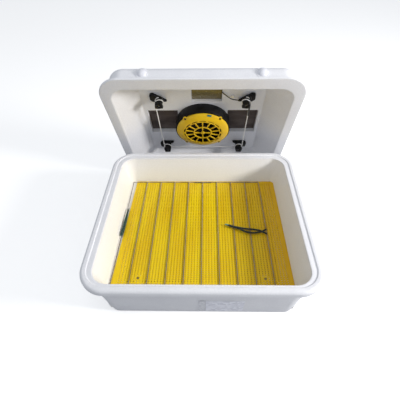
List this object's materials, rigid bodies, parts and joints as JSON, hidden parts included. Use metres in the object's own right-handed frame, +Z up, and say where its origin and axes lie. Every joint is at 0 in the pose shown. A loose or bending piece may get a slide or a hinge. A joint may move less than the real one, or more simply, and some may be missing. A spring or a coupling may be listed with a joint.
{
  "type": "egg incubator",
  "caption": "Foam egg incubator: deep white tub with a perforated yellow floor and sliding wire turner, and a linked lid holding a round fan, heater cord, windows and controller.",
  "frame": {"origin": "centre of the tub's flat underside, on the table", "axes": "+X to the right and +Y to the rear, seen from the front of the tub; +Z up"},
  "size_m": [0.614, 0.7094, 0.495],
  "materials": {
    "eps_foam": "fused white foam beads, slightly satin",
    "yellow_plastic": "injection moulded, satin",
    "steel_wire": "drawn wire, slightly dull",
    "zinc_steel": "zinc plated",
    "black_plastic": "moulded, satin",
    "grey_plastic": "moulded, satin",
    "white_plastic": "moulded, satin",
    "smoked_pane": "thin clear acrylic seen against a dark room",
    "brown_cover": "dark translucent cover, glossy",
    "circuit_board": "solder mask",
    "red_lens": "dark red display window",
    "red_plastic": "moulded rocker",
    "cord_braid": "braided polyester cord",
    "silicone_cord": "silicone heating cord",
    "black_cable": "PVC cable",
    "label_paper": "blank paper label",
    "clear_tape": "packing tape, glossy",
    "teal_tape": "small adhesive tag"
  },
  "bodies": {
    "tub": {"base_tub": "eps_foam", "water_tray": "grey_plastic", "floor_grid": "yellow_plastic", "floor_screws": "zinc_steel", "label_sheet": "label_paper", "label_tape": "clear_tape", "motor_bracket": "zinc_steel", "turner_motor": "zinc_steel", "motor_screws": "zinc_steel", "turner_lead": "black_cable", "bail_clips": "white_plastic", "clip_screws": "zinc_steel"},
    "turner": {"turner_frame": "steel_wire", "frame_yoke": "zinc_steel", "left_pull_cord": "cord_braid", "right_pull_cord": "cord_braid"},
    "crank": {"crank_disc": "white_plastic", "crank_pin": "zinc_steel", "motor_shaft": "zinc_steel"},
    "bails": {"rear_bails": "steel_wire"},
    "lid": {"lid_shell": "eps_foam", "left_window": "smoked_pane", "right_window": "smoked_pane", "lid_lugs": "white_plastic", "lug_screws": "zinc_steel", "controller_case": "white_plastic", "controller_board": "circuit_board", "controller_cover": "brown_cover", "display_lens": "red_lens", "mains_plate": "black_plastic", "mains_socket": "black_plastic", "fan_housing": "black_plastic", "fan_motor": "grey_plastic", "fan_guard": "yellow_plastic", "guard_screws": "zinc_steel", "guard_tag": "teal_tape", "cord_brackets": "black_plastic", "bracket_screws": "zinc_steel", "heater_cord": "silicone_cord", "heater_lead": "black_cable", "sensor_tag": "white_plastic"},
    "rotor": {"fan_rotor": "grey_plastic"},
    "up_key": {"up_button": "grey_plastic"},
    "down_key": {"down_button": "grey_plastic"},
    "set_key": {"set_button": "grey_plastic"},
    "rocker": {"power_rocker": "red_plastic"},
    "left_plug": {"left_vent_plug": "white_plastic"},
    "right_plug": {"right_vent_plug": "white_plastic"}
  },
  "joints": [
    {"name": "bail_swing", "type": "hinge", "parent": "tub", "child": "bails", "pos_m": [0, 0.262, 0.06906], "axis": [1, 0, 0], "range_deg": [0, 109.22]},
    {"name": "lid_tilt", "type": "hinge", "parent": "bails", "child": "lid", "pos_m": [0, 0.4219, 0.01756], "axis": [1, 0, 0], "range_deg": [-39.23, 0]},
    {"name": "turner_slide", "type": "slide", "parent": "tub", "child": "turner", "axis": [1, 0, 0], "range_m": [0, 0.045]},
    {"name": "crank_turn", "type": "hinge", "parent": "tub", "child": "crank", "pos_m": [0, 0.222, 0.062], "axis": [0, 1, 0], "range_deg": [0, 180]},
    {"name": "fan_spin", "type": "hinge", "parent": "lid", "child": "rotor", "pos_m": [0, 0.3299, 0.25863], "axis": [0, -0.9397, -0.342], "continuous": true},
    {"name": "up_press", "type": "slide", "parent": "lid", "child": "up_key", "axis": [0, -0.9397, -0.342], "range_m": [0, 0.001], "stiffness_N_per_m": 800},
    {"name": "down_press", "type": "slide", "parent": "lid", "child": "down_key", "axis": [0, -0.9397, -0.342], "range_m": [0, 0.001], "stiffness_N_per_m": 800},
    {"name": "set_press", "type": "slide", "parent": "lid", "child": "set_key", "axis": [0, -0.9397, -0.342], "range_m": [0, 0.001], "stiffness_N_per_m": 800},
    {"name": "power_rock", "type": "hinge", "parent": "lid", "child": "rocker", "pos_m": [0.172, 0.31585, 0.4025], "axis": [1, 0, 0], "range_deg": [-8, 8]},
    {"name": "left_plug_pull", "type": "slide", "parent": "lid", "child": "left_plug", "axis": [0, -0.342, 0.9397], "range_m": [0, 0.03]},
    {"name": "right_plug_pull", "type": "slide", "parent": "lid", "child": "right_plug", "axis": [0, -0.342, 0.9397], "range_m": [0, 0.03]}
  ],
  "couplings": [
    {"joint": "lid_tilt", "follows": "bail_swing", "ratio": -0.35906},
    {"joint": "crank_turn", "follows": "turner_slide", "rad_per_m": 69.8}
  ]
}
